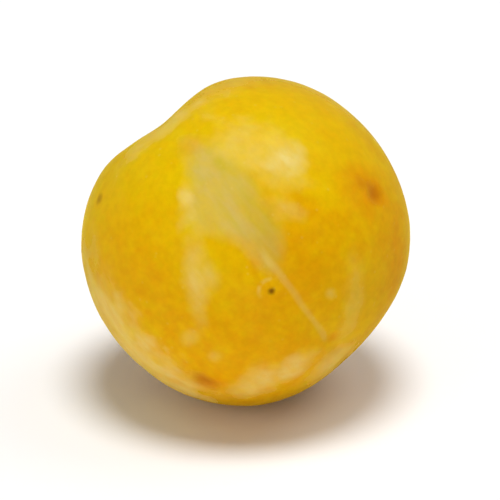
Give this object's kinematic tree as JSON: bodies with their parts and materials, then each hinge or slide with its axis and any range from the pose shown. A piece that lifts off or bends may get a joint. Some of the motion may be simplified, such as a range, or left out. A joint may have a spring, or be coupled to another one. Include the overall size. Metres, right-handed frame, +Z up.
{
  "type": "plum",
  "caption": "Round yellow dessert plum with a shallow seam and a stem hollow, lying on its side on a small flat spot.",
  "frame": {"origin": "middle of the small flat spot that the plum rests on", "axes": "+Z up from the surface it rests on; the seam faces -Y; the stem hollow is up and towards -X, a little towards +Y"},
  "size_m": [0.046, 0.0455, 0.0456],
  "materials": {
    "plum_skin": "satin golden-yellow skin with a thin pale waxy bloom in patches"
  },
  "bodies": {
    "root": {"plum": "plum_skin"}
  },
  "joints": []
}
